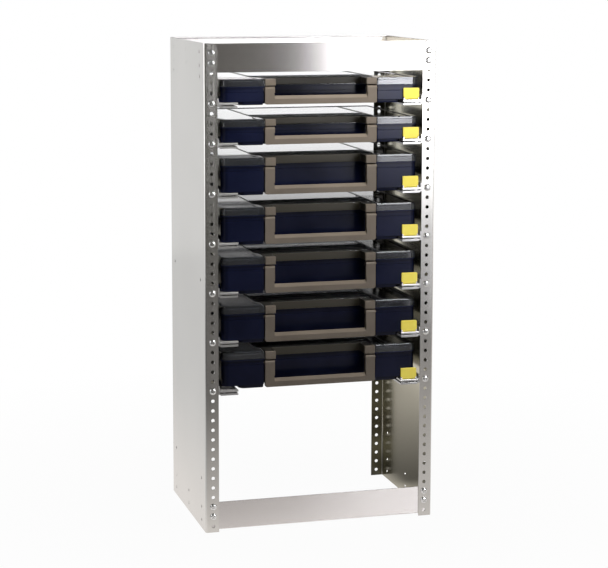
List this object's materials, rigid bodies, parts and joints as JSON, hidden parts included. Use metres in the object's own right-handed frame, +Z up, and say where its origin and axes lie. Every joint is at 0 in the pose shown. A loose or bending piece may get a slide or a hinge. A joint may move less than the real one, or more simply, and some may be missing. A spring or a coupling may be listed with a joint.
{
  "type": "shelving rack with storage cases",
  "caption": "Upright sheet-metal rack with perforated corner flanges; lidded cases with folding handles stand in rows on pull-out runner trays, each held by a small fold-down stop.",
  "frame": {"origin": "on the floor under the middle of the rack", "axes": "+Z up, +Y from the front of the rack to its back, +X to the right seen from the front"},
  "size_m": [0.484, 0.324, 0.992],
  "materials": {
    "sheet_metal": "brushed",
    "zinc_steel": "zinc plated",
    "navy_plastic": "fine moulded satin",
    "clear_plastic": "polished, tinted clear",
    "taupe_plastic": "satin",
    "yellow_plastic": "satin"
  },
  "bodies": {
    "rack": {"side_panel_left": "sheet_metal", "side_panel_right": "sheet_metal", "top_fascia": "sheet_metal", "top_back_rail": "sheet_metal", "bottom_plinth": "sheet_metal", "runner_frame_1": "zinc_steel", "runner_frame_2": "zinc_steel", "runner_frame_3": "zinc_steel", "runner_frame_4": "zinc_steel", "runner_frame_5": "zinc_steel", "runner_frame_6": "zinc_steel", "runner_frame_7": "zinc_steel"},
    "tray_unit_1": {"tray_1": "zinc_steel", "case_base_1": "navy_plastic", "case_lid_1": "clear_plastic", "case_latch_1": "taupe_plastic"},
    "stop_unit_1": {"case_stop_1": "yellow_plastic"},
    "handle_unit_1": {"case_handle_1": "taupe_plastic"},
    "tray_unit_2": {"tray_2": "zinc_steel", "case_base_2": "navy_plastic", "case_lid_2": "clear_plastic", "case_latch_2": "taupe_plastic"},
    "stop_unit_2": {"case_stop_2": "yellow_plastic"},
    "handle_unit_2": {"case_handle_2": "taupe_plastic"},
    "tray_unit_3": {"tray_3": "zinc_steel", "case_base_3": "navy_plastic", "case_lid_3": "clear_plastic", "case_latch_3": "taupe_plastic"},
    "stop_unit_3": {"case_stop_3": "yellow_plastic"},
    "handle_unit_3": {"case_handle_3": "taupe_plastic"},
    "tray_unit_4": {"tray_4": "zinc_steel", "case_base_4": "navy_plastic", "case_lid_4": "clear_plastic", "case_latch_4": "taupe_plastic"},
    "stop_unit_4": {"case_stop_4": "yellow_plastic"},
    "handle_unit_4": {"case_handle_4": "taupe_plastic"},
    "tray_unit_5": {"tray_5": "zinc_steel", "case_base_5": "navy_plastic", "case_lid_5": "clear_plastic", "case_latch_5": "taupe_plastic"},
    "stop_unit_5": {"case_stop_5": "yellow_plastic"},
    "handle_unit_5": {"case_handle_5": "taupe_plastic"},
    "tray_unit_6": {"tray_6": "zinc_steel", "case_base_6": "navy_plastic", "case_lid_6": "clear_plastic", "case_latch_6": "taupe_plastic"},
    "stop_unit_6": {"case_stop_6": "yellow_plastic"},
    "handle_unit_6": {"case_handle_6": "taupe_plastic"},
    "tray_unit_7": {"tray_7": "zinc_steel", "case_base_7": "navy_plastic", "case_lid_7": "clear_plastic", "case_latch_7": "taupe_plastic"},
    "stop_unit_7": {"case_stop_7": "yellow_plastic"},
    "handle_unit_7": {"case_handle_7": "taupe_plastic"}
  },
  "joints": [
    {"name": "tray_slide_1", "type": "slide", "parent": "rack", "child": "tray_unit_1", "axis": [0, -1, 0], "range_m": [0, 0.24]},
    {"name": "stop_hinge_1", "type": "hinge", "parent": "tray_unit_1", "child": "stop_unit_1", "pos_m": [0.19, -0.1595, 0.8763], "axis": [1, 0, 0], "range_deg": [0, 90]},
    {"name": "handle_hinge_1", "type": "hinge", "parent": "tray_unit_1", "child": "handle_unit_1", "pos_m": [0, -0.155, 0.8995], "axis": [-1, 0, 0], "range_deg": [0, 90]},
    {"name": "tray_slide_2", "type": "slide", "parent": "rack", "child": "tray_unit_2", "axis": [0, -1, 0], "range_m": [0, 0.24]},
    {"name": "stop_hinge_2", "type": "hinge", "parent": "tray_unit_2", "child": "stop_unit_2", "pos_m": [0.19, -0.1595, 0.7963], "axis": [1, 0, 0], "range_deg": [0, 90]},
    {"name": "handle_hinge_2", "type": "hinge", "parent": "tray_unit_2", "child": "handle_unit_2", "pos_m": [0, -0.155, 0.8195], "axis": [-1, 0, 0], "range_deg": [0, 90]},
    {"name": "tray_slide_3", "type": "slide", "parent": "rack", "child": "tray_unit_3", "axis": [0, -1, 0], "range_m": [0, 0.24]},
    {"name": "stop_hinge_3", "type": "hinge", "parent": "tray_unit_3", "child": "stop_unit_3", "pos_m": [0.19, -0.1595, 0.6963], "axis": [1, 0, 0], "range_deg": [0, 90]},
    {"name": "handle_hinge_3", "type": "hinge", "parent": "tray_unit_3", "child": "handle_unit_3", "pos_m": [0, -0.155, 0.7395], "axis": [-1, 0, 0], "range_deg": [0, 90]},
    {"name": "tray_slide_4", "type": "slide", "parent": "rack", "child": "tray_unit_4", "axis": [0, -1, 0], "range_m": [0, 0.24]},
    {"name": "stop_hinge_4", "type": "hinge", "parent": "tray_unit_4", "child": "stop_unit_4", "pos_m": [0.19, -0.1595, 0.5963], "axis": [1, 0, 0], "range_deg": [0, 90]},
    {"name": "handle_hinge_4", "type": "hinge", "parent": "tray_unit_4", "child": "handle_unit_4", "pos_m": [0, -0.155, 0.6395], "axis": [-1, 0, 0], "range_deg": [0, 90]},
    {"name": "tray_slide_5", "type": "slide", "parent": "rack", "child": "tray_unit_5", "axis": [0, -1, 0], "range_m": [0, 0.24]},
    {"name": "stop_hinge_5", "type": "hinge", "parent": "tray_unit_5", "child": "stop_unit_5", "pos_m": [0.19, -0.1595, 0.4963], "axis": [1, 0, 0], "range_deg": [0, 90]},
    {"name": "handle_hinge_5", "type": "hinge", "parent": "tray_unit_5", "child": "handle_unit_5", "pos_m": [0, -0.155, 0.5395], "axis": [-1, 0, 0], "range_deg": [0, 90]},
    {"name": "tray_slide_6", "type": "slide", "parent": "rack", "child": "tray_unit_6", "axis": [0, -1, 0], "range_m": [0, 0.24]},
    {"name": "stop_hinge_6", "type": "hinge", "parent": "tray_unit_6", "child": "stop_unit_6", "pos_m": [0.19, -0.1595, 0.3963], "axis": [1, 0, 0], "range_deg": [0, 90]},
    {"name": "handle_hinge_6", "type": "hinge", "parent": "tray_unit_6", "child": "handle_unit_6", "pos_m": [0, -0.155, 0.4395], "axis": [-1, 0, 0], "range_deg": [0, 90]},
    {"name": "tray_slide_7", "type": "slide", "parent": "rack", "child": "tray_unit_7", "axis": [0, -1, 0], "range_m": [0, 0.24]},
    {"name": "stop_hinge_7", "type": "hinge", "parent": "tray_unit_7", "child": "stop_unit_7", "pos_m": [0.19, -0.1595, 0.2963], "axis": [1, 0, 0], "range_deg": [0, 90]},
    {"name": "handle_hinge_7", "type": "hinge", "parent": "tray_unit_7", "child": "handle_unit_7", "pos_m": [0, -0.155, 0.3455], "axis": [-1, 0, 0], "range_deg": [0, 90]}
  ]
}
